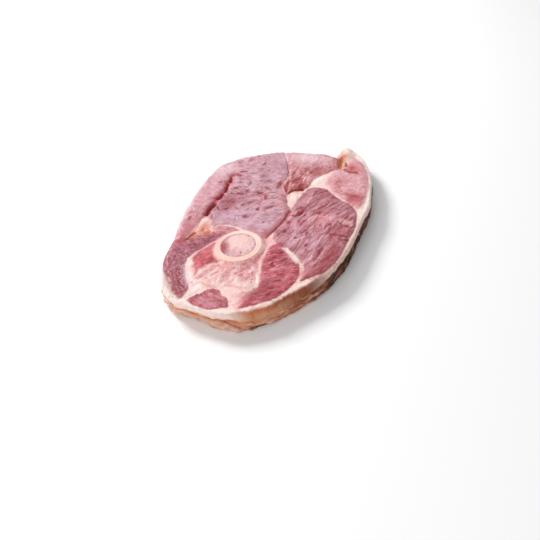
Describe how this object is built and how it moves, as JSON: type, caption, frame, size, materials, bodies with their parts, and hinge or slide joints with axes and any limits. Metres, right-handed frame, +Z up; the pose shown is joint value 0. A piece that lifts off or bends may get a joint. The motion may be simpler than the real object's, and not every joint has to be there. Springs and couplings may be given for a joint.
{
  "type": "lamb leg steak",
  "caption": "Raw bone-in lamb leg steak: a flat oval slice of lean with muscle seams, a ring of thigh bone with marrow, and a band of outer fat round one side.",
  "frame": {"origin": "the middle of the slice's bounding box in plan, on the surface it lies on", "axes": "+X along the slice from the bone end to the far end with the fat nub, +Y across it from the fat side to the bare side, +Z up through its thickness"},
  "size_m": [0.1856, 0.1107, 0.0156],
  "materials": {
    "lean": "moist raw lamb, mauve pink to deep red, fine fibres and fat seams, satin with a wet sheen",
    "outer_fat": "firm cream fat, orange brown in its creases, waxy satin",
    "bone": "sawn ivory bone, matt",
    "marrow": "soft pale pink marrow, moist"
  },
  "bodies": {
    "root": {"lean": "lean", "outer_fat": "outer_fat", "bone": "bone", "marrow": "marrow"}
  },
  "joints": []
}
